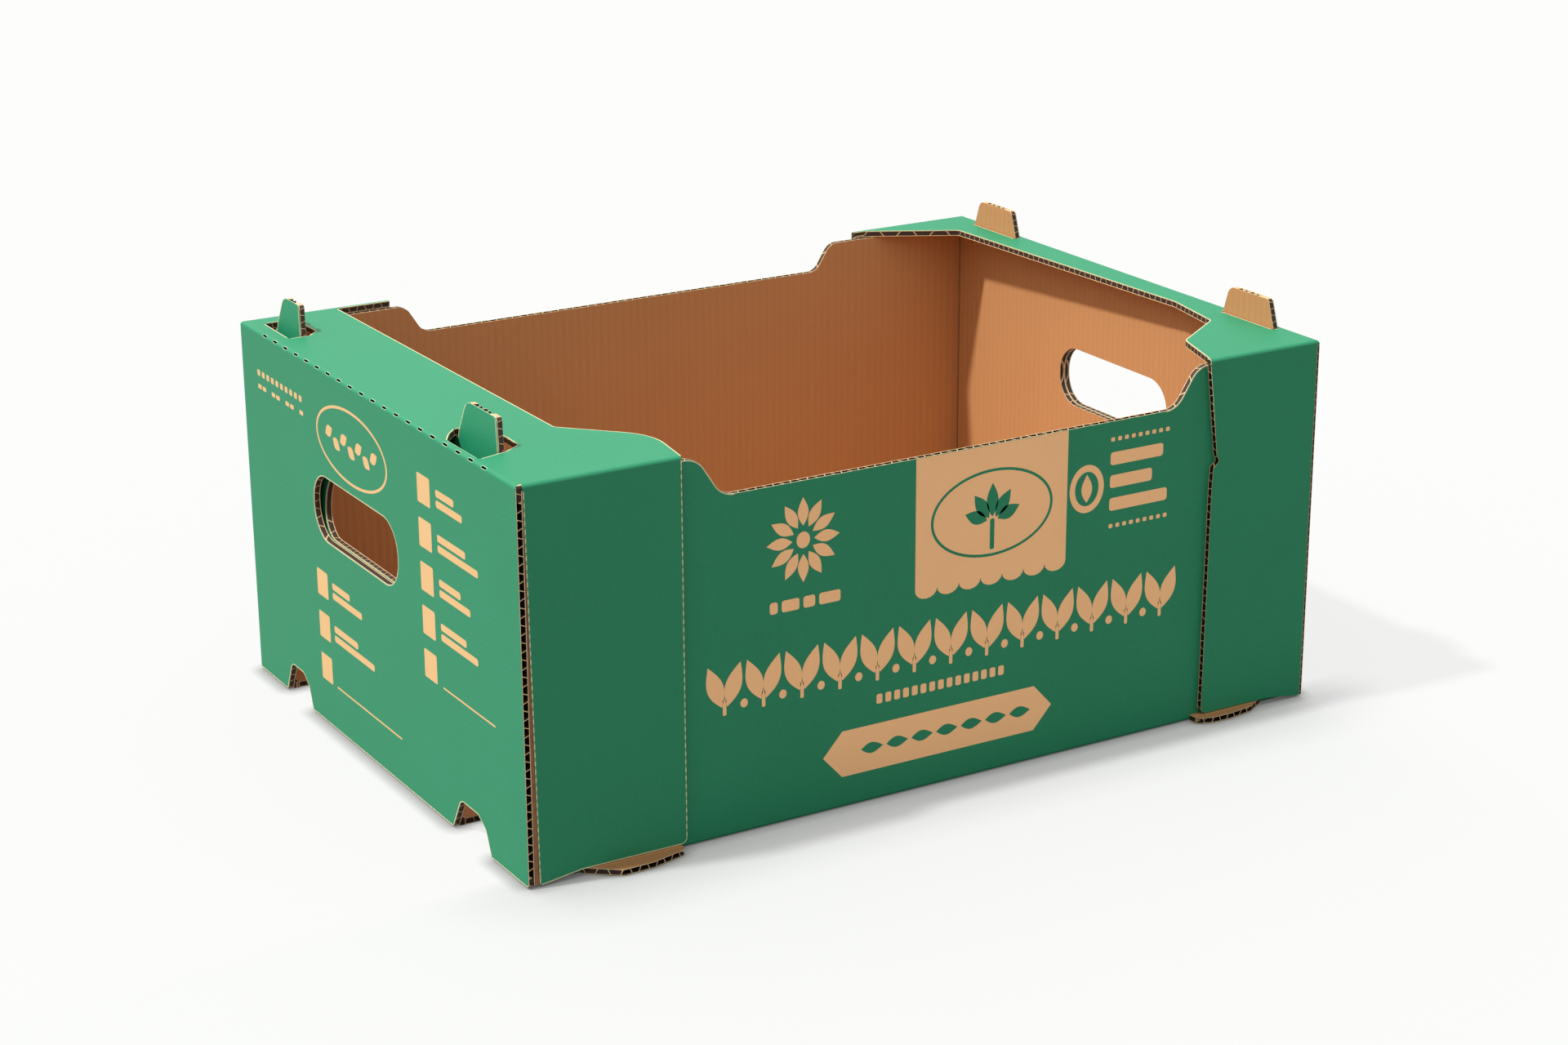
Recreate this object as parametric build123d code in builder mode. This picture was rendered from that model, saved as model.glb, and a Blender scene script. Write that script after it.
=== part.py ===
from build123d import *

import os
from dataclasses import dataclass
from math import cos, radians, sin, tan

# Open corrugated-board tray with double ends: one folded tray body and two glued end caps.
# Millimetres. The origin is the bottom centre, X runs along the tray and +Z is up.
# A distance named inset is measured inward from the outer face of an end.
# A distance named from_front is measured from the tray's front face, along +Y.

# Overall size of the erected tray and its board
length = 420.0
width = 300.0
height = 180.0
board = 3.0
glue_line = 0.1
fold_radius = 1.8
edge_clearance = 0.3

# Long side walls
front_wall_low = 158.0
back_wall_low = 162.5
front_dip_radius = 11.0
front_dip_run = 12.0
back_dip_radius = 8.0
back_dip_run = 9.0

# End plies that fold up from the base
corner_gap = 1.4
bow_start = 88.0
bow_radius = 140.0

# Stacking tabs on the end plies
tab_rise = 13.5
tab_taper = 9.0
tab_rear_radius = 5.0
tab_front_radius = 2.5
slot_clearance = 1.0

# Stacking notches at the foot of each end
notch_height = 16.5
notch_radius = 5.0
notch_foot_radius = 2.0
inner_notch_margin = 7.0
inner_notch_rise = 1.0
base_slot_depth = 21.0
notch_front_run = 0.13
notch_front_rise = 0.72
notch_crown_start = 0.32
notch_crown_end = 0.24

# Corner flaps of the end caps
cap_lift = 0.8
flap_gap = 0.3
flap_gap_foot = 2.4
flap_foot_radius = 3.0
flap_nub_radius = 1.5
flap_corner_radius = 0.8
foot_clearance = 0.4

# Perforated crease along the top of each end
perforation_pitch = 12.6
perforation_length = 4.4
perforation_width = 1.0
perforation_depth = 2.0
perforation_margin = 22.0
crease_angle = 45.0

# Lower corners of the end walls
end_front_radius = 1.5
end_rear_radius = 6.0

# Open flutes along the raw edges of the board
liner = 0.35
web = 0.4
flute_slant = 0.45
wall_flute_step = 4.3
end_flute_step = 3.8
flute_depth = 5.0
end_flute_margin = 4.0
flap_flute_lift = 1.0
wall_flute_margin = 7.0
foot_flute_margin = 3.0
foot_flute_reach = 4.0

half_length = length / 2
half_width = width / 2
ledge_under = height - board
ply_inset = board + glue_line
side_wall_face = half_width - board - glue_line
side_wall_inner = side_wall_face - board
ply_half_width = side_wall_inner - corner_gap
ply_top = ledge_under - edge_clearance
over_foot = board + foot_clearance


@dataclass
class Hole:
    centre_from_front: float
    centre_height: float
    long: float
    tall: float
    radius: float


@dataclass
class Tab:
    front: float
    rear: float


@dataclass
class Notch:
    front: float
    rear: float


@dataclass
class Flap:
    step: float
    step_run: float
    free_edge: tuple
    top: float


@dataclass
class End:
    side: int
    bow_angle: float
    wall_reach: float
    flap_start: float
    flap_start_foot: float
    hand_hole: Hole
    tabs: tuple
    notches: tuple
    front_dip: float
    rear_dip: float
    front_flap: Flap
    rear_flap: Flap
    ledge: tuple
    ledge_radii: tuple
    slots: tuple
    foot: tuple


# Each ledge and slot is listed as inset and from_front pairs, and each foot as inset and
# reach outward from its wall
left_ledge_width = 49.0
fold_strip = 3.5
left = End(
    side=-1,
    bow_angle=7.0,
    wall_reach=half_width,
    flap_start=board + flap_gap,
    flap_start_foot=board + flap_gap_foot,
    hand_hole=Hole(centre_from_front=half_width + 20, centre_height=111.5, long=95, tall=32, radius=15),
    tabs=(Tab(front=45, rear=83), Tab(front=width - 41, rear=width - 13)),
    notches=(Notch(front=35.5, rear=75), Notch(front=width - 67, rear=width - 34)),
    front_dip=86,
    rear_dip=84,
    front_flap=Flap(step=6.5, step_run=19, free_edge=((77, over_foot),), top=77),
    rear_flap=Flap(step=6.5, step_run=19, free_edge=((77, over_foot),), top=77),
    ledge=(
        (77, 0),
        (81.5, 33),
        (left_ledge_width + 1.5, 65),
        (left_ledge_width, width - fold_strip),
        (77, width - fold_strip),
        (77, width),
    ),
    ledge_radii=(27, 4, 1, 1),
    slots=(
        (
            (board, 40.4),
            (17, 44),
            (26, 50),
            (26.4, 63),
            (20.5, 84.5),
            (12.5, 84.5),
            (7.5, 79),
            (board, 71.5),
        ),
        (
            (7.6, width - 42.5),
            (17.8, width - 42.5),
            (24, width - 36.5),
            (23.5, width - 18),
            (18.5, width - 11),
            (8, width - 11),
        ),
    ),
    foot=((26.2, 0), (41, 11.8), (56, 11.4), (74, 7), (74, 0)),
)
right = End(
    side=1,
    bow_angle=0.0,
    wall_reach=half_width - board - flap_gap,
    flap_start=0.0,
    flap_start_foot=0.0,
    hand_hole=Hole(centre_from_front=half_width + 2, centre_height=117, long=91.5, tall=31, radius=14.5),
    tabs=(Tab(front=27, rear=65), Tab(front=width - 59, rear=width - 21)),
    notches=(Notch(front=26, rear=66), Notch(front=width - 60, rear=width - 20)),
    front_dip=69,
    rear_dip=89,
    front_flap=Flap(
        step=2,
        step_run=20,
        free_edge=((61.8, over_foot), (60.8, 116), (60.3, 127), (57, 129.4), (58.6, 133)),
        top=64.5,
    ),
    rear_flap=Flap(step=2, step_run=20, free_edge=((71.5, over_foot),), top=72),
    ledge=(
        (64.5, 0),
        (54, 33),
        (21.5, 55),
        (14.5, 92),
        (21.5, width - 28),
        (66, width - fold_strip),
        (72, width - fold_strip),
        (72, width),
    ),
    ledge_radii=(7, 4, 12, 3, 1, 1),
    slots=(),
    foot=((23, 0), (34, 6.4), (48, 8.4), (58, 8.2), (65.5, 5.6), (66, 0)),
)
ends = (left, right)
slot_corner_radius = 1.2
foot_radius = 3.0


def along(inset, side):
    return side * (half_length - inset)


def depth(from_front):
    return from_front - half_width


def wall_outline(low, dip_starts, dip_run, dip_radius):
    """Side wall seen from the front, with raised ends under the ledges."""
    points = [(along(board + glue_line, -1), 0)]
    for end, dip_start in zip(ends, dip_starts):
        shoulder = (along(dip_start, end.side), ply_top)
        dip = (along(dip_start + dip_run, end.side), low)
        corner = (along(board + glue_line, end.side), ply_top)
        if end is left:
            points += [corner, shoulder, dip]
        else:
            points += [dip, shoulder, corner]
    points.append((along(board + glue_line, 1), 0))
    radii = [0, dip_radius, dip_radius, dip_radius, dip_radius, 0]
    FilletPolyline(*points, radius=radii, close=False)
    Line(points[-1], points[0])


def foot_outline(end, reach_sign):
    """Foot outline on the base plane; reach_sign is -1 at the front and 1 at the back."""
    points = [
        (along(inset, end.side), reach_sign * (side_wall_face + reach)) for inset, reach in end.foot
    ]
    FilletPolyline(*points, radius=foot_radius, close=False)
    Line(points[-1], points[0])


def foot_window_outline(end):
    """Opening that each foot leaves in the wall, seen from the front."""
    points = [(along(inset, end.side), board + reach) for inset, reach in end.foot]
    FilletPolyline(*points, radius=foot_radius, close=False)
    Line(points[-1], points[0])


def notch_outline(notch, margin, top):
    """Skewed arch seen from the left end, steep at the front and leaning at the rear."""
    front = depth(notch.front) - margin
    rear = depth(notch.rear) + margin
    span = rear - front
    FilletPolyline(
        (front, -board),
        (front, 0),
        (front + notch_front_run * span, notch_front_rise * top),
        (front + notch_crown_start * span, top),
        (rear - notch_crown_end * span, top),
        (rear, 0),
        (rear, -board),
        radius=[notch_foot_radius, notch_radius, notch_radius, notch_radius, notch_foot_radius],
        close=False,
    )
    Line((rear, -board), (front, -board))


def tab_outline(tab):
    front = depth(tab.front)
    rear = depth(tab.rear)
    crown = height + tab_rise
    FilletPolyline(
        (front, ply_top - board),
        (front, height),
        (front + tab_taper / 2, crown),
        (rear - tab_taper / 2, crown),
        (rear, height),
        (rear, ply_top - board),
        radius=[tab_front_radius, tab_front_radius, tab_rear_radius, tab_rear_radius],
        close=False,
    )
    Line((rear, ply_top - board), (front, ply_top - board))


def hand_hole(hole):
    with Locations((depth(hole.centre_from_front), hole.centre_height)):
        RectangleRounded(hole.long, hole.tall, hole.radius, mode=Mode.SUBTRACT)


def flute_row(step, run):
    """Row of flute openings centred along local X, each widest at the other liner from the last."""
    pairs = int(run / step / 2)
    face = board / 2 - liner
    wide = (step - web) / 2 + flute_slant
    narrow = (step - web) / 2 - flute_slant
    for shift, low, high in ((-step / 2, wide, narrow), (step / 2, narrow, wide)):
        with Locations((shift, 0)):
            with GridLocations(2 * step, 2 * step, pairs, 1):
                Polygon((-low, -face), (low, -face), (high, face), (-high, face), align=None)


def end_ply(end):
    """End ply with its stacking tabs; a bow angle leans it inward above the hand hole."""
    crown = height + tab_rise
    mid = ply_inset + board / 2
    lean = (crown - bow_start) * tan(radians(end.bow_angle))
    with BuildPart() as ply:
        with BuildSketch(Plane.XZ.offset(-ply_half_width)):
            with BuildLine():
                foot = (along(mid, end.side), 0)
                bend = (along(mid, end.side), bow_start)
                top = (along(mid + lean, end.side), crown + board)
                if end.bow_angle:
                    FilletPolyline(foot, bend, top, radius=bow_radius, close=False)
                else:
                    Line(foot, top)
            trace(line_width=board)
        extrude(amount=2 * ply_half_width)
        with BuildSketch(Plane.YZ.offset(-length)):
            with Locations((0, ply_top / 2)):
                Rectangle(2 * ply_half_width, ply_top)
            for tab in end.tabs:
                with BuildLine():
                    tab_outline(tab)
                make_face()
            for notch in end.notches:
                with BuildLine():
                    notch_outline(notch, inner_notch_margin, notch_height + inner_notch_rise)
                make_face(mode=Mode.SUBTRACT)
            hand_hole(end.hand_hole)
        extrude(amount=2 * length, mode=Mode.INTERSECT)
        for tab in end.tabs:
            crown_edge = Plane(
                origin=(along(mid + lean, end.side), depth((tab.front + tab.rear) / 2), crown),
                x_dir=(0, 1, 0),
                z_dir=(-end.side * sin(radians(end.bow_angle)), 0, cos(radians(end.bow_angle))),
            )
            with BuildSketch(crown_edge.offset(liner)):
                flute_row(wall_flute_step, tab.rear - tab.front - tab_taper - tab_rear_radius)
            extrude(amount=-flute_depth, mode=Mode.SUBTRACT)
    return ply.part


def ledge_outline(end):
    """Ledge seen from above, with its two front and rear shoulders."""
    points = [(along(inset, end.side), depth(from_front)) for inset, from_front in end.ledge]
    outer_back = (along(0, end.side), half_width)
    outer_front = (along(0, end.side), -half_width)
    inner = FilletPolyline(*points, radius=end.ledge_radii, close=False)
    Polyline(inner @ 1, outer_back, outer_front, inner @ 0)


def slot_outline(end, slot):
    corners = [(along(inset, end.side), depth(from_front)) for inset, from_front in slot]
    FilletPolyline(*corners, radius=slot_corner_radius, close=True)


def tab_slots(end):
    """Slots of the ledge: the given ones, or a close one round each tab."""
    if end.slots:
        return end.slots
    inner = ply_inset + board + slot_clearance
    slots = []
    for tab in end.tabs:
        front = tab.front - slot_clearance
        rear = tab.rear + slot_clearance
        slots.append(((board, front), (inner, front), (inner, rear), (board, rear)))
    return slots


def flap_outline(end, flap):
    """Corner flap seen from the front, hanging from the ledge and raised over the foot."""
    side = end.side
    points = [
        (along(end.flap_start, side), height),
        (along(end.flap_start_foot, side), cap_lift),
        (along(flap.step, side), cap_lift),
        (along(flap.step + flap.step_run, side), over_foot),
    ]
    points += [(along(inset, side), up) for inset, up in flap.free_edge]
    points.append((along(flap.top, side), height))
    radii = [flap_corner_radius, 0, 0, flap_foot_radius]
    radii += [flap_nub_radius] * (len(flap.free_edge) - 1)
    FilletPolyline(*points, radius=radii, close=False)
    Line(points[-1], points[0])


def raw_edges(end):
    """Planes of the upright cut edges that show the flutes, each with its run and cutting depth."""
    middle = (ledge_under + cap_lift) / 2
    run = ledge_under - cap_lift - 2 * end_flute_margin
    edges = []
    for facing, flap in ((-1, end.front_flap), (1, end.rear_flap)):
        if end.flap_start:
            corner = (along(board / 2, end.side), facing * half_width, middle)
            edges.append((Plane(origin=corner, x_dir=(0, 0, 1), z_dir=(0, facing, 0)), run, flute_depth))
            continue
        across = facing * (half_width - board / 2)
        insets = [inset for inset, up in flap.free_edge]
        reach = flap.top - min(insets) + flute_depth
        for inset, outward, cut in ((0, end.side, flute_depth), (flap.top, -end.side, reach)):
            origin = (along(inset, end.side), across, middle + flap_flute_lift)
            edges.append((Plane(origin=origin, x_dir=(0, 0, 1), z_dir=(outward, 0, 0)), run, cut))
    return edges


def end_cap(end):
    """End wall, ledge and two corner flaps, cut and folded from one sheet."""
    crease_setback = fold_radius * (1 - cos(radians(crease_angle)))
    slits = int((width - 2 * perforation_margin) / perforation_pitch)
    with BuildPart() as cap:
        with BuildSketch(Plane.YZ.offset(along(board / 2, end.side))) as wall:
            with Locations((0, (height + cap_lift) / 2)):
                Rectangle(2 * end.wall_reach, height - cap_lift)
            low_corners = wall.vertices().group_by(Axis.Y)[0].sort_by(Axis.X)
            fillet(low_corners[0], end_front_radius)
            fillet(low_corners[-1], end_rear_radius)
            for notch in end.notches:
                with BuildLine():
                    notch_outline(notch, 0, notch_height)
                make_face(mode=Mode.SUBTRACT)
            hand_hole(end.hand_hole)
        extrude(amount=board / 2, both=True)
        with BuildSketch(Plane.XY.offset(ledge_under)):
            with BuildLine():
                ledge_outline(end)
            make_face()
            for slot in tab_slots(end):
                with BuildLine():
                    slot_outline(end, slot)
                make_face(mode=Mode.SUBTRACT)
        extrude(amount=board)
        for flap, face, thickness in (
            (end.front_flap, half_width, -board),
            (end.rear_flap, -half_width, board),
        ):
            with BuildSketch(Plane.XZ.offset(face)):
                with BuildLine():
                    flap_outline(end, flap)
                make_face()
            extrude(amount=thickness)
        top_edges = cap.edges().group_by(Axis.Z)[-1]
        crease = top_edges.filter_by(Axis.Y).sort_by(Axis.X)[0 if end is left else -1]
        folds = top_edges.filter_by(Axis.X).group_by(Axis.Y)
        fillet([crease] + folds[0] + folds[-1], fold_radius)
        crease_plane = Plane(
            origin=(along(crease_setback, end.side), 0, height - crease_setback),
            x_dir=(0, 1, 0),
            z_dir=(end.side, 0, 1),
        )
        with BuildSketch(crease_plane):
            with GridLocations(perforation_pitch, perforation_pitch, slits, 1):
                Rectangle(perforation_length, perforation_width)
        extrude(amount=-perforation_depth, mode=Mode.SUBTRACT)
        for raw_edge, run, cut in raw_edges(end):
            with BuildSketch(raw_edge):
                flute_row(end_flute_step, run)
            extrude(amount=-cut, mode=Mode.SUBTRACT)
    return cap


os.makedirs("parts", exist_ok=True)

# Base, two side walls and two end plies, folded from one sheet, with four feet
end_plies = [end_ply(end) for end in ends]
with BuildPart() as tray_body:
    with BuildSketch():
        Rectangle(2 * (half_length - ply_inset), 2 * side_wall_face)
        for end in ends:
            for notch in end.notches:
                middle = depth((notch.front + notch.rear) / 2)
                with Locations((along(base_slot_depth / 2, end.side), middle)):
                    Rectangle(base_slot_depth, notch.rear - notch.front, mode=Mode.SUBTRACT)
    extrude(amount=board)
    front_dips = [end.front_dip for end in ends]
    rear_dips = [end.rear_dip for end in ends]
    for inner_face, low, dips, dip_run, dip_radius in (
        (-side_wall_inner, front_wall_low, front_dips, front_dip_run, front_dip_radius),
        (side_wall_face, back_wall_low, rear_dips, back_dip_run, back_dip_radius),
    ):
        with BuildSketch(Plane.XZ.offset(-inner_face)):
            with BuildLine():
                wall_outline(low, dips, dip_run, dip_radius)
            make_face()
            for end in ends:
                with BuildLine():
                    foot_window_outline(end)
                make_face(mode=Mode.SUBTRACT)
        extrude(amount=board)
    low_edges = tray_body.edges().filter_by(Axis.X).group_by(Axis.Z)[0]
    long_folds = low_edges.filter_by(lambda edge: edge.length > width / 2)
    fillet(long_folds, fold_radius)
    with BuildSketch():
        for end in ends:
            for reach_sign in (-1, 1):
                with BuildLine():
                    foot_outline(end, reach_sign)
                make_face()
    extrude(amount=board)
    for facing, low, dips, dip_run in (
        (-1, front_wall_low, front_dips, front_dip_run),
        (1, back_wall_low, rear_dips, back_dip_run),
    ):
        run_ends = [along(dip + dip_run + wall_flute_margin, end.side) for end, dip in zip(ends, dips)]
        wall_middle = facing * (side_wall_face - board / 2)
        with BuildSketch(Plane.XY.offset(low)):
            with Locations(((run_ends[0] + run_ends[1]) / 2, wall_middle)):
                flute_row(wall_flute_step, run_ends[1] - run_ends[0])
        extrude(amount=-flute_depth, mode=Mode.SUBTRACT)
        for end in ends:
            insets = [inset for inset, reach in end.foot if reach > foot_flute_reach]
            middle = along((insets[0] + insets[-1]) / 2, end.side)
            foot_edge = Plane(
                origin=(middle, facing * (side_wall_face + foot_flute_reach), board / 2),
                x_dir=(1, 0, 0),
                z_dir=(0, facing, 0),
            )
            with BuildSketch(foot_edge):
                flute_row(wall_flute_step, insets[-1] - insets[0] + foot_flute_margin)
            extrude(amount=length, mode=Mode.SUBTRACT)
    add(end_plies)
tray_body.part.label = "tray_body"
export_step(tray_body.part, "parts/tray_body.step")

left_end_cap = end_cap(left)
left_end_cap.part.label = "left_end_cap"
export_step(left_end_cap.part, "parts/left_end_cap.step")

right_end_cap = end_cap(right)
right_end_cap.part.label = "right_end_cap"
export_step(right_end_cap.part, "parts/right_end_cap.step")
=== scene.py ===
# Looks of an open corrugated-board tray: board materials, print, floor, lights and camera
from math import cos, hypot, pi, radians, sin, tan

import bmesh
import bpy
from mathutils import Matrix, Vector


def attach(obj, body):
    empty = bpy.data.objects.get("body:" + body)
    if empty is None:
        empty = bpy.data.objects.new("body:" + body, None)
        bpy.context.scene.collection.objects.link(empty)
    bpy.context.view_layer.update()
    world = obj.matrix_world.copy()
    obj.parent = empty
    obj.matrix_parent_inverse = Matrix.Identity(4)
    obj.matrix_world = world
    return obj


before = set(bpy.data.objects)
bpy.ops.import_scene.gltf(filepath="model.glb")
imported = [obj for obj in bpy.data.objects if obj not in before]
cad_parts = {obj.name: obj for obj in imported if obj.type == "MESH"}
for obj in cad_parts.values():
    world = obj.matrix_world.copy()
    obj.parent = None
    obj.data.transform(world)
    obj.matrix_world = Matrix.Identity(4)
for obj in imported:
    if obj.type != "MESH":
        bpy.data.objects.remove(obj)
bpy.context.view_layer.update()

# Sizes of the board parts, in millimetres from the bottom centre
half_length = 210.0
half_width = 150.0
height = 180.0
board = 3.0
wall_face = 146.9
ply_inset = 3.1
ply_edge = 143.2
fold_radius = 1.8
bow_start = 88.0
bow_run = 8.56
bow_slope = tan(radians(7))
crown_rise = 13.3
corner_strip = 1.3
corner_first_depth = 0.15
flap_gap = 0.3
flap_gap_foot = 2.4
below_ledge = 4.0
slit_zone = 3.0

# Flutes of the board, and where the solids have them open
wall_step = 4.3
end_step = 3.8
tab_side_step = 3.0
liner = 0.35
web = 0.4
flute_slant = 0.45
flute_depth = 5.0
left_flutes = (5.3, 172.5)
right_flutes = (6.3, 173.5)
free_edge_inset = 54.0
front_wall_low = 158.0
back_wall_low = 162.5
wall_clear_of_base = 20.0
front_middle = 8.5
front_run = 111.6
back_middle = -2.5
back_run = 107.3
foot_reach = 4.0
left_foot_middle = -152.5
right_foot_middle = 160.25
foot_run = 17.2
flap_edge_low = 6.0

# Margins for telling one face of the board from the next, in millimetres
far = 100.0
skin = 0.08
inner_skin = 0.09
fold_skin = 0.12
facet_skin = 0.2
slack = 0.05
wall_slack = 0.07
face_slack = 0.1
sheet_slack = 0.15
ply_slack = 0.2
corner_slack = 0.4

# How much a surface has to face an axis to count as an edge across it
level_facing = 0.3
edge_facing = 0.5

# Colours in linear light
green = (0.008, 0.230, 0.106)
green_dark = (0.004, 0.166, 0.074)
green_fleck = (0.030, 0.290, 0.150)
kraft = (0.50, 0.242, 0.094)
kraft_dark = (0.42, 0.194, 0.072)
shade_dark = (0.10, 0.042, 0.015)
kraft_fleck = (0.30, 0.13, 0.048)
liner_edge = (0.80, 0.62, 0.36)
medium = (0.33, 0.155, 0.065)
# Painted shade of the flute hollows, near black
painted_flute_shade = (0.030, 0.012, 0.005)
# Painted light: the side print is set brighter than the end print, to make up for the shade on the front
# wall
side_print_light = (0.90, 0.50, 0.235)
side_print_low = (0.82, 0.45, 0.205)
end_print_light = (0.68, 0.425, 0.19)
end_print_low = (0.62, 0.385, 0.17)
rim_light = (0.70, 0.66, 0.40)
rim_low = (0.34, 0.36, 0.19)
rim_gap = (0.06, 0.22, 0.11)
slit_rim = (0.30, 0.50, 0.33)
crushed_dark = (0.17, 0.070, 0.028)
crushed_light = (0.33, 0.150, 0.062)

# Shares of the darker colours that are laid over the board
corner_shade = 0.85
foot_shade = 0.35
green_fleck_share = 0.3
kraft_fleck_share = 0.28
rim_gap_share = 0.8

# Scales of the grain, in features for each millimetre
broad_grain = 0.02
print_grain = 0.05
rim_grain = 0.3
worn_grain = 0.6
streak_grain = 0.9
streak_stretch = (3, 3, 0.4)
kraft_fleck_grain = 1.1
fibre_grain = 1.6
fleck_grain = 2.4
fleck_level = 0.70

# Heights of the relief, in metres
board_relief = 0.00012
print_relief = 0.00003
crushed_relief = 0.0001


class Term:
    """A number in a node tree, which plain arithmetic turns into nodes."""

    def __init__(self, graph, socket):
        self.graph = graph
        self.socket = socket

    def __add__(self, other):
        return self.graph.work("ADD", self, other)

    def __sub__(self, other):
        return self.graph.work("SUBTRACT", self, other)

    def __rsub__(self, other):
        return self.graph.work("SUBTRACT", other, self)

    def __mul__(self, other):
        return self.graph.work("MULTIPLY", self, other)

    def __truediv__(self, other):
        return self.graph.work("DIVIDE", self, other)

    def __lt__(self, other):
        return self.graph.work("LESS_THAN", self, other)

    def __gt__(self, other):
        return self.graph.work("GREATER_THAN", self, other)

    __radd__ = __add__
    __rmul__ = __mul__


class Graph:
    """A node tree of a material or a world."""

    def __init__(self, tree):
        self.nodes = tree.nodes
        self.links = tree.links

    def work(self, operation, *values, clamp=False):
        node = self.nodes.new("ShaderNodeMath")
        node.operation = operation
        node.use_clamp = clamp
        for socket, value in zip(node.inputs, values):
            if isinstance(value, Term):
                self.links.new(value.socket, socket)
            else:
                socket.default_value = value
        return Term(self, node.outputs[0])

    def size(self, value):
        return self.work("ABSOLUTE", value)

    def least(self, a, b):
        return self.work("MINIMUM", a, b)

    def most(self, a, b):
        return self.work("MAXIMUM", a, b)

    def between(self, value, low, high):
        return (value > low) * (value < high)

    def either(self, a, b, choice):
        """Value a where choice is 0, and b where it is 1."""
        return choice * b + (1 - choice) * a

    def parts(self, vector):
        split = self.nodes.new("ShaderNodeSeparateXYZ")
        self.links.new(vector, split.inputs[0])
        return [Term(self, socket) for socket in split.outputs]

    def openness(self, distance):
        """Share of the view that a point has free within a distance in metres."""
        node = self.nodes.new("ShaderNodeAmbientOcclusion")
        node.inputs["Distance"].default_value = distance
        node.samples = 8
        return Term(self, node.outputs["AO"])

    def shader(self, kind, colour=None):
        node = self.nodes.new(kind)
        if colour is not None:
            node.inputs["Color"].default_value = (*colour, 1)
        return node

    def blend(self, first, second, share):
        """The first shader where share is 0, and the second where it is 1."""
        node = self.nodes.new("ShaderNodeMixShader")
        for socket, value in zip(node.inputs, (share, first, second)):
            self.links.new(value, socket)
        return node.outputs[0]


class Look(Graph):
    """A material whose graph knows the place of each point in millimetres."""

    def __init__(self, name):
        self.material = bpy.data.materials.new(name)
        self.material.use_nodes = True
        super().__init__(self.material.node_tree)
        self.surface = self.nodes["Principled BSDF"]
        coordinates = self.nodes.new("ShaderNodeTexCoord")
        scaled = self.nodes.new("ShaderNodeVectorMath")
        scaled.operation = "SCALE"
        scaled.inputs["Scale"].default_value = 1000
        self.links.new(coordinates.outputs["Object"], scaled.inputs[0])
        self.place = scaled.outputs[0]
        self.x, self.y, self.z = self.parts(self.place)

    def grain(self, scale, detail=3.0, stretch=(1, 1, 1)):
        """Noise from 0 to 1 with features about 1 / scale millimetres wide."""
        stretched = self.nodes.new("ShaderNodeVectorMath")
        stretched.operation = "MULTIPLY"
        stretched.inputs[1].default_value = stretch
        self.links.new(self.place, stretched.inputs[0])
        noise = self.nodes.new("ShaderNodeTexNoise")
        noise.inputs["Scale"].default_value = scale
        noise.inputs["Detail"].default_value = detail
        self.links.new(stretched.outputs[0], noise.inputs["Vector"])
        return Term(self, noise.outputs["Fac"])

    def mix(self, a, b, factor):
        """Colour a where factor is 0, and b where it is 1."""
        node = self.nodes.new("ShaderNodeMix")
        node.data_type = "RGBA"
        self.links.new(factor.socket, node.inputs["Factor"])
        for value, socket in ((a, node.inputs[6]), (b, node.inputs[7])):
            if isinstance(value, tuple):
                socket.default_value = (*value, 1)
            else:
                self.links.new(value, socket)
        return node.outputs[2]

    def facing(self, axis):
        """How far the surface faces along an axis, 0 for X to 2 for Z, from 0 to 1."""
        shape = self.nodes.new("ShaderNodeNewGeometry")
        return self.size(self.parts(shape.outputs["True Normal"])[axis])

    def finish(self, colour, relief, distance, roughness):
        self.links.new(colour, self.surface.inputs["Base Color"])
        bump = self.nodes.new("ShaderNodeBump")
        bump.inputs["Strength"].default_value = 1.0
        bump.inputs["Distance"].default_value = distance
        self.links.new(relief.socket, bump.inputs["Height"])
        self.links.new(bump.outputs["Normal"], self.surface.inputs["Normal"])
        self.links.new(roughness.socket, self.surface.inputs["Roughness"])
        self.surface.inputs["Specular IOR Level"].default_value = 0.5


def fold(look, a, b):
    """1 on the rounded outside of a fold between two faces at depths a and b."""
    reach_a = look.most(fold_radius - a, 0.0)
    reach_b = look.most(fold_radius - b, 0.0)
    reach = look.work("SQRT", reach_a * reach_a + reach_b * reach_b)
    return (reach > fold_radius - fold_skin) * (reach_a > 0.0) * (reach_b > 0.0)


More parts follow.
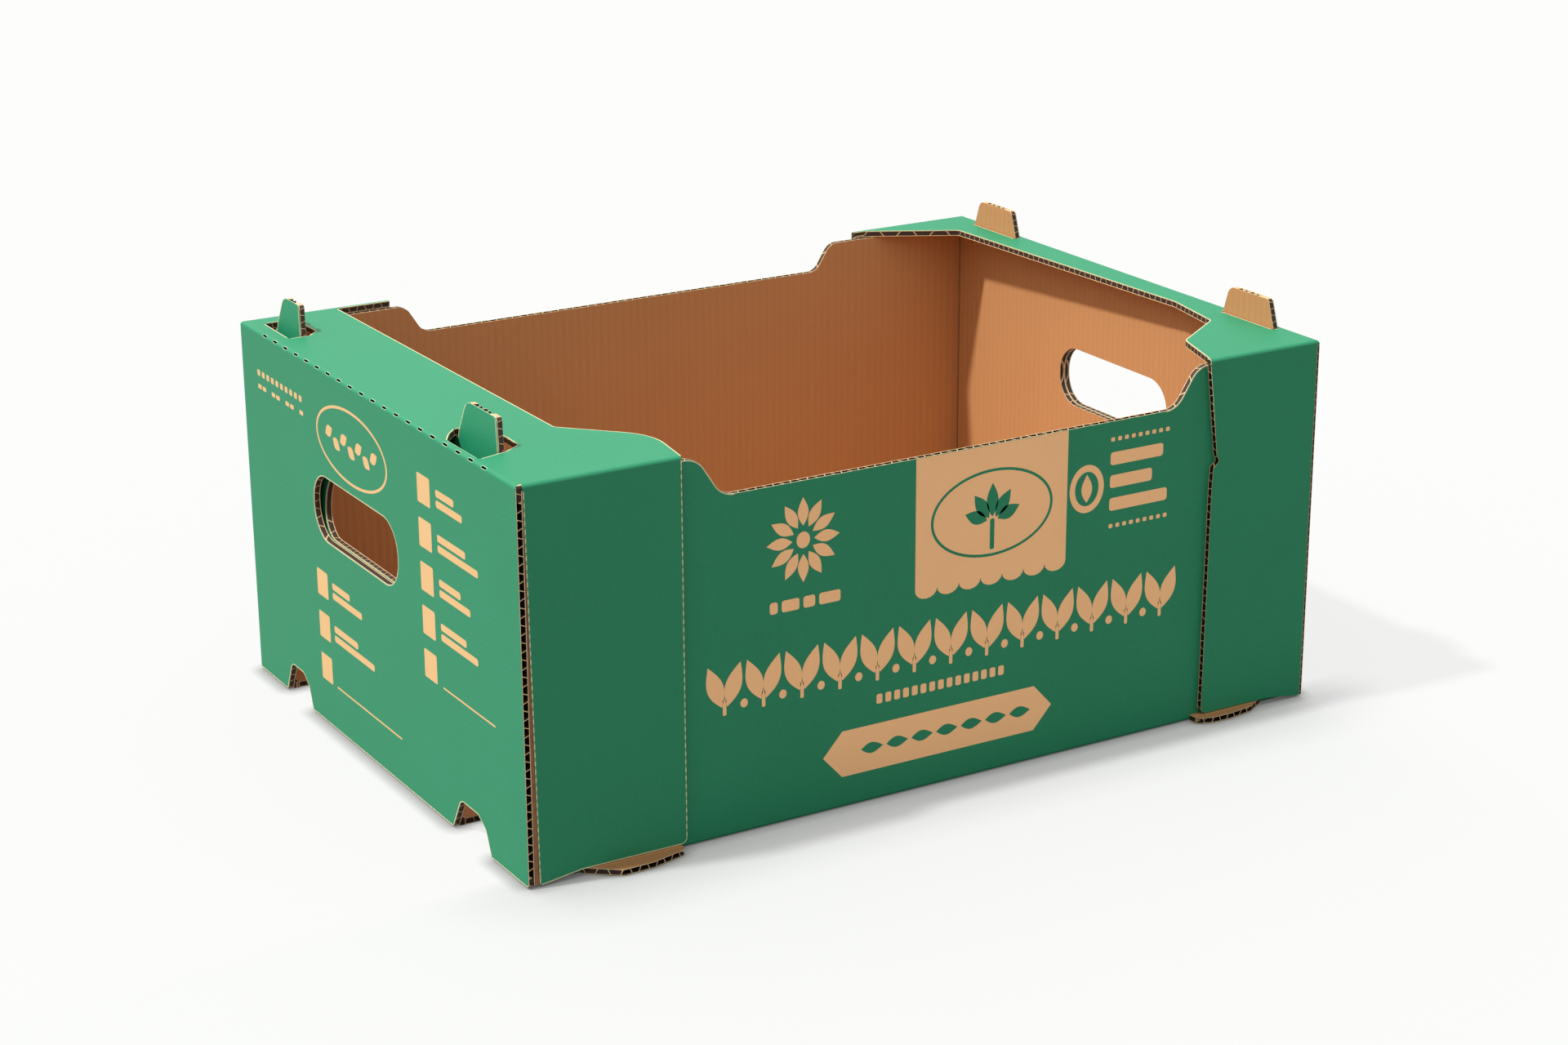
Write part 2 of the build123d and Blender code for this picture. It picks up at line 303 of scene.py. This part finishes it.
def board_colours(look, depth, outside, along, step, across, open_flute, raw, shade):
    """Printed outside, kraft inside and a fluted section on each cut edge of a sheet.

    along counts the flutes across their run and across measures them on faces that lie along it.
    open_flute is 1 inside the openings that the solids have, whose insides are painted near black as shade,
    and raw is 1 on the edges round them.
    shade is the share of shadow that close neighbours keep on the plain side."""
    inside = depth > board - inner_skin
    cell = look.work("ROUND", along)
    turn = look.work("COSINE", cell * pi) * flute_slant
    aside = (along - cell) * step - turn * (depth - board / 2) / (board / 2 - liner)
    core = look.between(depth, liner, board - liner)
    hollow = core * (look.size(aside) > web / 2)
    fibres = look.grain(fibre_grain, 4.0)
    broad = look.grain(broad_grain, 2.0)
    worn = look.grain(worn_grain, 3.0)
    edge = look.mix(medium, liner_edge, look.either(worn * 0.8, worn * 0.7 + 0.45, 1 - core))
    # Painted shade: the voids between the flute webs, and the insides of the solids' openings, are painted
    # near black where shade falls in the hollows
    section = look.mix(edge, painted_flute_shade, look.most(hollow * (1 - raw), open_flute))
    ribs_and_rib_shade = look.work("COSINE", across * (2 * pi)) * 0.5 + 0.5
    fleck = look.grain(fleck_grain, 2.0) > fleck_level
    printed = look.mix(green_dark, green, broad * 0.25 + fibres * 0.35 + worn * 0.65)
    printed = look.mix(printed, green_fleck, fleck * green_fleck_share)
    # Painted shade: the plain kraft is striped lighter and darker at the flute pitch, standing for the
    # shading of the washboard; the same stripes give a real bump in the relief
    plain_share = broad * 0.4 + fibres * 0.3 + worn * 0.35 + ribs_and_rib_shade * 0.25 - 0.1
    plain = look.mix(kraft_dark, kraft, plain_share)
    kraft_flecks = look.grain(kraft_fleck_grain, 2.0) > fleck_level
    plain = look.mix(plain, kraft_fleck, kraft_flecks * kraft_fleck_share)
    plain = look.mix(plain, shade_dark, shade)
    colour = look.mix(section, plain, inside)
    colour = look.mix(colour, printed, outside)
    cut = (1 - inside) * (1 - outside)
    relief = fibres * 0.25 + ribs_and_rib_shade * (0.5 * inside + 0.16) * (1 - cut) - cut * hollow * (1 - raw) * 1.2
    roughness = 0.66 - outside * 0.16 + fibres * 0.10
    look.finish(colour, relief, board_relief, roughness)


def cap_look():
    """Board of the end caps.

    The flutes run along Y in the left cap's ledge and along X in the right one's."""
    look = Look("cap board")
    right = look.x > 0.0
    inset = half_length - look.size(look.x)
    below = height - look.z
    across = look.size(look.y)
    inner_side = look.either(inset < board + sheet_slack, across < half_width - board - sheet_slack, right)
    flap = half_width - across + inner_side * far
    end = inset + (1 - inner_side) * right * far
    corner = right * (flap < face_slack) * (inset < corner_strip) * (below > fold_radius)
    sheet = look.least(look.least(end, below), flap)
    depth = look.either(sheet, inset * (board / corner_strip) + corner_first_depth, corner)
    outside = look.most(depth < skin, look.most(fold(look, inset, below), fold(look, flap, below)))

    end_wall = (inset < board + slack) * (below > board)
    left_along = look.either(look.x / wall_step, (look.z - sum(left_flutes) / 2) / end_step, end_wall)
    right_flap = (flap < board + face_slack) * (below > board)
    right_along = look.either(look.y / wall_step, (look.z - sum(right_flutes) / 2) / end_step, right_flap)
    along = look.either(left_along, right_along, right)
    step = look.either(wall_step, end_step, look.either(end_wall, right_flap, right))

    left_near = (1 - right) * end_wall * (across > half_width - flute_depth - slack)
    left_near = left_near * look.between(look.z, *left_flutes)
    left_raw = left_near * (across > half_width - slack)
    right_edges = right * right_flap * look.between(look.z, *right_flutes)
    right_near = right_edges * (inset < flute_depth + slack)
    right_raw = right_near * (inset < slack)
    free_edge = right_edges * (inset > free_edge_inset)
    free_raw = free_edge * (look.facing(0) > edge_facing)
    raw = look.most(look.most(left_raw, right_raw), free_raw)
    core = look.between(depth, liner - slack, board - liner + slack)
    corner_open = look.most(left_near * (1 - left_raw), right_near * (1 - right_raw) * (1 - corner))
    # Insides of the openings, which are painted near black as shade
    open_flute = look.most(corner_open, free_edge * (1 - free_raw)) * core
    shade = (across > ply_edge - face_slack) * (inset < board + corner_slack) * corner_shade
    board_colours(look, depth, outside, along, step, along, open_flute, raw, shade)
    return look.material


def body_look():
    """Board of the tray body: base, feet, long walls and the end plies with their tabs."""
    look = Look("tray board")
    inset = half_length - look.size(look.x)
    across = look.size(look.y)
    rise = look.z - (bow_start - bow_run)
    bend = look.least(look.most(rise, 0.0), 2 * bow_run)
    bowed = bend * bend / (4 * bow_run) + look.most(rise - 2 * bow_run, 0.0)
    lean = bowed * (look.x < 0.0) * bow_slope
    ply_depth = inset - ply_inset - lean
    ply = (ply_depth < board + ply_slack) * (across < ply_edge)
    wall = wall_face - across + (across > wall_face + wall_slack) * far
    depth = look.either(look.least(wall, look.z), ply_depth, ply)
    outside = look.most(depth < skin, fold(look, wall, look.z) * (1 - ply))
    core = look.between(depth, liner - slack, board - liner + slack)
    level = look.facing(2) > level_facing

    rear = look.y > 0.0
    run_middle = look.either(front_middle, back_middle, rear)
    run = look.either(front_run, back_run, rear)
    drop = look.either(front_wall_low, back_wall_low, rear) - look.z
    top_edge = (1 - ply) * (look.z > wall_clear_of_base) * (look.size(look.x - run_middle) < run)
    top_raw = top_edge * (look.size(drop) < slack)
    top_open = top_edge * look.between(drop, slack, flute_depth + slack) * core

    foot_middle = look.either(left_foot_middle, right_foot_middle, look.x > 0.0)
    foot = (across > wall_face + foot_reach - slack) * (look.z < board + face_slack)
    foot_row = foot * (look.size(look.x - foot_middle) < foot_run)
    foot_raw = foot_row * (1 - level)
    foot_open = foot_row * level * core

    crown = ply * (look.z > height + crown_rise) * level
    tab_side = ply * (look.z > height) * (1 - crown)
    raw = look.most(look.most(top_raw, foot_raw), crown)
    # Insides of the openings, which are painted near black as shade
    open_flute = look.most(top_open, foot_open)
    wall_along = (look.x - look.either(run_middle, foot_middle, look.z < board + face_slack)) / wall_step
    ply_along = look.either(look.y / wall_step, look.z / tab_side_step, tab_side)
    along = look.either(wall_along, ply_along, ply)
    ribs_along = look.either(wall_along, look.y / wall_step, ply)
    shade = foot * look.between(depth, board - inner_skin, board + ply_slack) * foot_shade
    board_colours(look, depth, outside, along, wall_step, ribs_along, open_flute, raw, shade)
    return look.material


def print_look(name, light, low):
    look = Look(name)
    fibres = look.grain(fibre_grain, 4.0)
    broad = look.grain(print_grain, 2.0)
    colour = look.mix(low, light, broad * 0.6 + fibres * 0.4)
    look.finish(colour, fibres, print_relief, 0.6 + fibres * 0.1)
    return look.material


def rim_look():
    """Bare liner at the cut edges, broken by the flutes along the free edges of the left cap's flaps."""
    look = Look("liner rim")
    fibres = look.grain(fibre_grain, 4.0)
    flap_edges = (look.size(look.y) > half_width - slack) * (look.x < 0.0)
    flap_edges = flap_edges * look.between(look.z, flap_edge_low, height - below_ledge)
    gaps = flap_edges * (look.work("COSINE", look.z * (2 * pi / end_step)) < -0.2)
    slits = half_length + height - look.size(look.x) - look.z < slit_zone
    colour = look.mix(rim_low, rim_light, look.grain(rim_grain, 2.0) * 0.9 + fibres * 0.4 - 0.1)
    colour = look.mix(colour, slit_rim, slits)
    colour = look.mix(colour, rim_gap, gaps * rim_gap_share)
    look.finish(colour, fibres, print_relief, 0.6 + fibres * 0.1)
    return look.material


def crushed_look():
    look = Look("crushed liner")
    streaks = look.grain(streak_grain, 3.0, streak_stretch)
    colour = look.mix(crushed_dark, crushed_light, streaks * 1.6 - 0.3)
    look.finish(colour, streaks, crushed_relief, 0.8 + streaks * 0.1)
    return look.material


cap_board = cap_look()
tray_board = body_look()
# The side print's brighter colour is painted light, making up for the shade on the front wall
side_light = print_look("side print", side_print_light, side_print_low)
end_light = print_look("end print", end_print_light, end_print_low)
rim_print = rim_look()
green_print = print_look("green print", green, green_dark)
for name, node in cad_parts.items():
    for part in node if isinstance(node, (list, tuple)) else [node]:
        for place in part.material_slots:
            place.material = tray_board if name == "tray_body" else cap_board


def show(name, mesh, material):
    """A piece of the scene that is fixed to the tray, made of a finished bmesh."""
    data = bpy.data.meshes.new(name)
    mesh.to_mesh(data)
    mesh.free()
    data.materials.append(material)
    piece = bpy.data.objects.new(name, data)
    bpy.context.scene.collection.objects.link(piece)
    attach(piece, "root")


def sheet_depth(name, point):
    """How deep a point lies under the outer face of its sheet, in millimetres."""
    x, y, z = (1000 * value for value in point)
    inset = half_length - abs(x)
    across = abs(y)
    if name == "tray_body":
        rise = z - (bow_start - bow_run)
        bend = min(max(rise, 0.0), 2 * bow_run)
        bowed = bend * bend / (4 * bow_run) + max(rise - 2 * bow_run, 0.0)
        ply_depth = inset - ply_inset - (bowed * bow_slope if x < 0 else 0.0)
        if ply_depth < board + ply_slack and across < ply_edge:
            return ply_depth
        if across > wall_face + wall_slack:
            return z
        return min(wall_face - across, z)
    below = height - z
    covers = x > 0 and across > half_width - board - sheet_slack
    flap = half_width - across if covers or (x < 0 and inset > board + sheet_slack) else far
    end = far if covers and below > fold_radius else inset
    return min(end, below, flap)


def on_skin(name, face):
    """True for a flat face or fold that lies on the printed outside."""
    point = face.calc_center_median()
    x, y, z = (1000 * value for value in point)
    pairs = ((half_length - abs(x), height - z), (half_width - abs(y), height - z))
    if name == "tray_body":
        pairs = ((wall_face - abs(y), z),)
    for a, b in pairs:
        if 0 < a < fold_radius and 0 < b < fold_radius:
            if hypot(fold_radius - a, fold_radius - b) > fold_radius - facet_skin:
                return True
    return sheet_depth(name, point) < fold_skin


# Widths of the liner rims, in metres, and the right foot windows, which have none
rim_wide = 0.0005
rim_lift = 0.00002
shortest_rim = 0.0002
same_place = 0.00001
same_face = 0.5
foot_window_start = 0.139
foot_window_top = 0.0125


def rims(name):
    """A thin pale line of bare liner along every cut edge of the printed faces."""
    source = bmesh.new()
    source.from_mesh(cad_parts[name].data)
    bmesh.ops.remove_doubles(source, verts=source.verts, dist=same_place)
    source.normal_update()
    strip = bmesh.new()
    for edge in source.edges:
        if len(edge.link_faces) != 2:
            continue
        printed = [face for face in edge.link_faces if on_skin(name, face)]
        if len(printed) != 1 or edge.calc_length() < shortest_rim:
            continue
        face = printed[0]
        other = [neighbour for neighbour in edge.link_faces if neighbour is not face][0]
        if face.normal.dot(other.normal) > same_face:
            continue
        start, stop = (vert.co for vert in edge.verts)
        if start.x > foot_window_start and max(start.z, stop.z) < foot_window_top:
            continue
        inward = face.normal.cross(stop - start).normalized()
        if inward.dot(face.calc_center_median() - start) < 0:
            inward = -inward
        slit = half_length + height - 1000 * (abs(start.x) + start.z) < slit_zone
        reach = inward * (rim_wide / 2 if slit else rim_wide)
        lift = face.normal * rim_lift
        corners = (start, stop, stop + reach, start + reach)
        strip.faces.new([strip.verts.new(corner + lift) for corner in corners])
    source.free()
    show(name + "_rims", strip, rim_print)


# The wall's foot beside the right flap, from one side to the other and from outside to inside
plate_sides = (142.8, 151.0)
plate_faces = (0.05, 0.6)
plate_drop = 0.1
plate_rise = 9.0


def wall_foot():
    """The front wall's board that runs down to the right foot beside the cap's flap."""
    low = Vector((plate_sides[0], -wall_face + plate_faces[0], board - plate_drop)) / 1000
    high = Vector((plate_sides[1], -wall_face + plate_faces[1], board + plate_rise)) / 1000
    plate = bmesh.new()
    bmesh.ops.create_cube(plate, size=1.0)
    for vert in plate.verts:
        vert.co = [low[i] if vert.co[i] < 0 else high[i] for i in range(3)]
    show("front_wall_foot", plate, tray_board)


# The strips in the left corners' gaps
strip_low = 1.2
strip_margin = 0.1
strip_depth = 0.5


def corner_liners():
    """Bare inner liner in the gaps between the left end wall and the cap's flaps."""
    top = height - below_ledge
    wide_low = board + flap_gap_foot - strip_margin
    outline = ((board, strip_low), (wide_low, strip_low), (board + flap_gap, top), (board, top))
    strip = bmesh.new()
    for side in (-1, 1):
        y = side * (half_width - strip_depth)
        corners = [Vector((inset - half_length, y, z)) / 1000 for inset, z in outline]
        strip.faces.new([strip.verts.new(corner) for corner in corners])
    show("left_corner_liners", strip, crushed_look())


# Print, as thin fields on the outer faces; each field is a list of points or a band between outlines.
# Places run to the right from the middle of a face and up from the floor. Bars give length and height.
print_gap = 0.03
patch_sides = (-14, 68)
patch_low = 96
patch_top = 157.8
flower_place = (-72, 131)
petal = (13, 5.4)
seed_place = (79, 128)
seed_ring = (9.6, 11.5)
panel_bars = (30, 24, 33)
dot = (2.2, 2.0)
dot_step = 3.9
sprout_start = (-112, 61.5)
sprout_step = 19.6
sprout_leaf = (21, 8.2)
sprout_lean = 0.34
dash_start = (-34, 46.4)
dash = (3.1, 4.6)
dash_step = 4.7
ribbon = ((-52, 15), (52, 15), (62, 26), (52, 37), (-52, 37), (-62, 26))
ribbon_leaf = (11.6, 5.2)
ribbon_leaf_start = (-42, 26)
ribbon_leaf_step = 13.4
sprig_place = (27, 122)
sprig_oval_place = (27, 126)
sprig_oval = (33, 20.6)
end_dots_start = -131
end_dots_step = 5.7
end_oval_place = (-20, 150)
end_oval = (40, 18.0)
end_leaf_start = (-49, 150)
end_leaf_step = 8.4
end_leaf = (9, 5.6)
end_leaf_turn = 0.5
end_bar_tall = 3.4
upper_bar_rise = 4.8
write_line_tall = 0.9


def ellipse(u, v, wide, tall, steps=40):
    turns = [2 * pi * i / steps for i in range(steps)]
    return [(u + wide * cos(turn), v + tall * sin(turn)) for turn in turns]


def ring(u, v, wide, tall, line, steps=40):
    """A band between two ellipses; line is its width at the sides and above."""
    inner = ellipse(u, v, wide - line[0], tall - line[1], steps)
    return ellipse(u, v, wide, tall, steps), inner


def block(u, v, wide, tall, corner=0.6):
    """A rounded rectangle from its lower left corner."""
    right = wide - corner
    top = tall - corner
    points = []
    for k, (cu, cv) in enumerate(((right, top), (corner, top), (corner, corner), (right, corner))):
        for i in range(4):
            angle = pi / 2 * (k + i / 3)
            points.append((u + cu + corner * cos(angle), v + cv + corner * sin(angle)))
    return points


def leaf(u, v, long, wide, lean):
    """A leaf of two arcs with its stem at u, v, leaning by an angle from upright."""
    points = []
    for side, order in ((1, range(13)), (-1, range(11, 0, -1))):
        for i in order:
            t = i / 12
            reach = side * wide / 2 * sin(pi * t) * (1.15 - 0.3 * t)
            aside = long * t * sin(lean) + reach * cos(lean)
            points.append((u + aside, v + long * t * cos(lean) - reach * sin(lean)))
    return points


def lay(name, place, fields, material, bands=()):
    """One mesh of flat fields; place turns a point of a field into a point of the tray."""
    mesh = bmesh.new()
    for points in fields:
        mesh.faces.new([mesh.verts.new(place(u, v)) for u, v in points])
    for outer, inner in bands:
        ring_out = [mesh.verts.new(place(u, v)) for u, v in outer]
        ring_in = [mesh.verts.new(place(u, v)) for u, v in inner]
        count = len(ring_out)
        for i in range(count):
            j = (i + 1) % count
            mesh.faces.new((ring_out[i], ring_out[j], ring_in[j], ring_in[i]))
    bmesh.ops.triangulate(mesh, faces=[f for f in mesh.faces if len(f.verts) > 4])
    show(name, mesh, material)


def on_side(sign, gap):
    """A long wall seen from outside: u to the right and v up."""
    return lambda u, v: Vector((-sign * u, sign * (wall_face + gap), v)) / 1000


def on_end(sign, gap):
    """An end seen from outside: u to the right and v up."""
    return lambda u, v: Vector((sign * (half_length + gap), sign * u, v)) / 1000


def patch_fields(left, right, low, top, scallops, drop):
    """A field that hangs from the wall's top edge, in upright strips down to its scalloped edge."""
    scallop_wide = (right - left) / scallops
    edge = []
    for k in range(scallops):
        for i in range(9):
            angle = pi + pi * i / 8
            edge.append((left + (k + 0.5 + 0.5 * cos(angle)) * scallop_wide, low + drop * sin(angle)))
    strips = []
    for (u0, v0), (u1, v1) in zip(edge, edge[1:]):
        if u1 - u0 > 0.01:
            strips.append([(u0, v0), (u1, v1), (u1, top), (u0, top)])
    return strips


def flower(u, v):
    """Twelve petals round an oval, over a row of bars."""
    fields = []
    for k in range(12):
        angle = 2 * pi * k / 12
        fields.append(leaf(u + 5.5 * sin(angle), v + 6.5 * cos(angle), *petal, angle))
    fields.append(ellipse(u, v, 3.4, 3.8, steps=20))
    for start, wide in ((0, 4), (6, 9), (17, 6), (25, 11)):
        fields.append(block(u - 17 + start, v - 31.5, wide, 5.4, 1.2))
    return fields


def seed_panel(u, v):
    """A seed, for its ring at u, v, beside three bars between rows of dots."""
    fields = [leaf(u, v - 6.6, 13.5, 6, 0.0)]
    left = u + 13
    for k, wide in enumerate(panel_bars):
        fields.append(block(left, v + 9 - 11 * k, wide, 6.2, 1.4))
    for k in range(9):
        fields.append(block(left + dot_step * k, v + 20.4, *dot, 0.5))
        fields.append(block(left + dot_step * k, v - 21.4, *dot, 0.5))
    return fields


def sprout_row(u, v):
    """Thirteen leaf pairs on stems, with a dot between neighbours."""
    fields = []
    for k in range(13):
        middle = u + sprout_step * k
        for side in (-1, 1):
            fields.append(leaf(middle + 1.2 * side, v, *sprout_leaf, sprout_lean * side))
        fields.append(block(middle - 0.9, v - 3.9, 1.8, 7.5, 0.6))
        if k < 12:
            fields.append(ellipse(middle + sprout_step / 2, v, 1.9, 2.1, steps=16))
    return fields


def sprig(u, v):
    """Five leaves that fan out over a stem."""
    fields = []
    for k in range(5):
        lean = -1.2 + 0.6 * k
        fields.append(leaf(u + 3.0 * sin(lean), v + 2 * cos(lean), 16 - 1.6 * abs(k - 2), 6.4, lean))
    fields.append(block(u - 1.2, v - 13.4, 2.4, 14.5, 0.8))
    return fields


def side_print(sign):
    where = "front" if sign < 0 else "back"
    fields = patch_fields(*patch_sides, patch_low, patch_top, 7, 4.4)
    fields += flower(*flower_place) + seed_panel(*seed_place) + sprout_row(*sprout_start)
    fields += [block(dash_start[0] + dash_step * k, dash_start[1], *dash, 0.8) for k in range(15)]
    fields.append(ribbon)
    rings = [ring(*seed_place, *seed_ring, (3.0, 3.3))]
    lay(f"{where}_side_print", on_side(sign, print_gap), fields, side_light, rings)
    marks = sprig(*sprig_place)
    for k in range(7):
        start = ribbon_leaf_start[0] + ribbon_leaf_step * k
        marks.append(leaf(start, ribbon_leaf_start[1], *ribbon_leaf, pi / 2))
    rings = [ring(*sprig_oval_place, *sprig_oval, (1.4, 1.3), 64)]
    lay(f"{where}_side_marks", on_side(sign, 2 * print_gap), marks, green_print, rings)


def label_rows(place, step, square, bars, bar_place, upper_share):
    """Squares one below the other, each with two bars at its side where bars gives their length."""
    fields = []
    for k, wide in enumerate(bars):
        low = place[1] - step * k
        fields.append(block(place[0], low, *square, 0.9))
        if wide:
            bar_low = low + bar_place[1]
            fields.append(block(bar_place[0], bar_low, wide, end_bar_tall, 1.1))
            upper = bar_low + upper_bar_rise
            fields.append(block(bar_place[0], upper, wide * upper_share, end_bar_tall, 1.1))
    return fields


def end_print(sign, name):
    fields = []
    for k in range(10):
        start = end_dots_start + end_dots_step * k
        fields.append(block(start, 157.6, 3.4, 3.0, 0.6))
        if k % 3 != 2:
            fields.append(block(start, 151.2, 4.4, 2.2, 0.6))
    for k in range(7):
        lean = pi / 2 + (end_leaf_turn if k % 2 else -end_leaf_turn)
        fields.append(leaf(end_leaf_start[0] + end_leaf_step * k, end_leaf_start[1], *end_leaf, lean))
    fields += label_rows((52, 146), 20.4, (13, 13.4), (26, 40, 31, 37, 0), (71, 2.4), 0.7)
    fields.append(block(71, 64.6, 52, write_line_tall, 0.4))
    fields += label_rows((-69, 65.5), 21.4, (12.6, 13.2), (34, 46, 0), (-51, 2.5), 0.6)
    fields.append(block(-51, 23.0, 74, write_line_tall, 0.4))
    rings = [ring(*end_oval_place, *end_oval, (1.6, 1.4), 64)]
    lay(name, on_end(sign, print_gap), fields, end_light, rings)


wall_foot()
corner_liners()
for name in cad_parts:
    rims(name)
side_print(-1)
side_print(1)
end_print(-1, "left_end_print")
end_print(1, "right_end_print")

# Floor, in metres, and what a camera ray sees of it: a share of its true shading under an even glow, with
# painted shadow round the tray's foot
floor_size = 8.0
floor_drop = 0.0002
floor_glow = (1.0, 0.997, 0.99)
floor_tone = (0.322, 0.334, 0.334)
plain_grey = (0.33, 0.33, 0.33)
dim_grey = (0.07, 0.07, 0.07)
white_floor = 0.985
lit_floor = 0.73
shading_share = 0.26
front_shading_share = 0.36
front_line = -0.135
front_blend = 0.02
end_line = 0.250
end_blend = 0.06
touch_distance = 0.008
touch_power = 2.2
touch_share = 0.75
beside_distance = 0.055


def floor_look():
    """Paper that a camera ray sees near white, with a soft shadow and a dark line round the tray's foot."""
    paper = bpy.data.materials.new("floor")
    paper.use_nodes = True
    paper.node_tree.nodes.clear()
    graph = Graph(paper.node_tree)
    spot = graph.nodes.new("ShaderNodeNewGeometry")
    x, y, z = graph.parts(spot.outputs["Position"])
    in_front = graph.work("DIVIDE", front_line - y, front_blend, clamp=True)
    left_of_end = graph.work("DIVIDE", end_line - x, end_blend, clamp=True)
    shading = in_front * left_of_end * front_shading_share + shading_share
    # Painted shadow: the glow darkens where the tray closes a point in, as a dark contact line round the
    # tray's foot, and in front of the tray as a broader shadow beside the wall
    painted_contact_shadow = graph.work("POWER", graph.openness(touch_distance), touch_power)
    near = painted_contact_shadow * touch_share + (1 - touch_share)
    near = near * (1 - (1 - graph.openness(beside_distance)) * in_front)
    bright = graph.shader("ShaderNodeEmission", floor_glow)
    graph.links.new(((white_floor - shading * lit_floor) * near).socket, bright.inputs["Strength"])
    tone = graph.nodes.new("ShaderNodeCombineXYZ")
    for socket, part in zip(tone.inputs, floor_tone):
        graph.links.new((shading * part).socket, socket)
    shaded = graph.shader("ShaderNodeBsdfDiffuse")
    graph.links.new(tone.outputs[0], shaded.inputs["Color"])
    both = graph.nodes.new("ShaderNodeAddShader")
    graph.links.new(bright.outputs[0], both.inputs[0])
    graph.links.new(shaded.outputs[0], both.inputs[1])

    # Other rays see a grey floor, which mirrors in the front wall as a dim one
    plain = graph.shader("ShaderNodeBsdfDiffuse", plain_grey)
    dim = graph.shader("ShaderNodeBsdfDiffuse", dim_grey)
    ray = graph.nodes.new("ShaderNodeLightPath")
    mirrored = Term(graph, ray.outputs["Is Glossy Ray"]) * in_front
    unseen = graph.blend(plain.outputs[0], dim.outputs[0], mirrored.socket)
    seen = graph.blend(unseen, both.outputs[0], ray.outputs["Is Camera Ray"])
    graph.links.new(seen, graph.nodes.new("ShaderNodeOutputMaterial").inputs[0])
    return paper


floor_mesh = bmesh.new()
bmesh.ops.create_grid(floor_mesh, x_segments=8, y_segments=8, size=floor_size / 2)
floor_data = bpy.data.meshes.new("floor")
floor_mesh.to_mesh(floor_data)
floor_mesh.free()
floor_data.materials.append(floor_look())
floor = bpy.data.objects.new("floor", floor_data)
bpy.context.scene.collection.objects.link(floor)
floor.location.z = -floor_drop

# Light of the studio
sky_colour = (1.0, 0.99, 0.97)
sky_low = 0.27
sky_rise = 1.10
sky_back = 0.55
sky_back_power = 3.0
backdrop_colour = (0.955, 0.95, 0.94)
key_colour = (1.0, 0.985, 0.955)
key_towards = (-0.60, 0.12, 1.0)
key_strength = 4.3
key_softness = radians(3.5)


def studio():
    """Sky that is brighter overhead and behind the tray, and that a camera ray sees as a plain backdrop."""
    world = bpy.data.worlds.new("studio")
    bpy.context.scene.world = world
    world.use_nodes = True
    world.node_tree.nodes.clear()
    graph = Graph(world.node_tree)
    heading = graph.nodes.new("ShaderNodeTexCoord")
    x, y, z = graph.parts(heading.outputs["Generated"])
    behind = graph.work("POWER", graph.most(y, 0.0), sky_back_power)
    strength = behind * sky_back + (graph.most(z, 0.0) * sky_rise + sky_low)
    fill = graph.shader("ShaderNodeBackground", sky_colour)
    graph.links.new(strength.socket, fill.inputs["Strength"])
    backdrop = graph.shader("ShaderNodeBackground", backdrop_colour)
    backdrop.inputs["Strength"].default_value = 1.0
    ray = graph.nodes.new("ShaderNodeLightPath")
    seen = graph.blend(fill.outputs[0], backdrop.outputs[0], ray.outputs["Is Camera Ray"])
    graph.links.new(seen, graph.nodes.new("ShaderNodeOutputWorld").inputs[0])


def key_light():
    lamp = bpy.data.lights.new("key", "SUN")
    lamp.energy = key_strength
    lamp.angle = key_softness
    lamp.color = key_colour
    holder = bpy.data.objects.new("key", lamp)
    holder.rotation_mode = "QUATERNION"
    holder.rotation_quaternion = Vector(key_towards).to_track_quat("Z", "Y")
    bpy.context.scene.collection.objects.link(holder)


studio()
key_light()

# Camera at the photograph's viewing angle, with its place in metres and its lens in millimetres
camera_azimuth = radians(30.77)
camera_elevation = radians(18.89)
camera_roll = radians(-0.25)
camera_place = Vector((-0.7282, -1.2328, 0.5731))
level = Vector((cos(camera_azimuth), -sin(camera_azimuth), 0))
ahead = Vector((sin(camera_azimuth), cos(camera_azimuth), 0))
forward = ahead * cos(camera_elevation) - Vector((0, 0, sin(camera_elevation)))
upward = level.cross(forward)
rolled = level * cos(camera_roll) + upward * sin(camera_roll)
raised = upward * cos(camera_roll) - level * sin(camera_roll)
lens = bpy.data.cameras.new("camera")
lens.sensor_width = 36.0
lens.lens = 71.42
camera = bpy.data.objects.new("camera", lens)
camera.matrix_world = Matrix((rolled, raised, -forward)).transposed().to_4x4()
camera.location = camera_place
bpy.context.scene.collection.objects.link(camera)
bpy.context.scene.camera = camera
bpy.context.scene.view_settings.view_transform = "Standard"
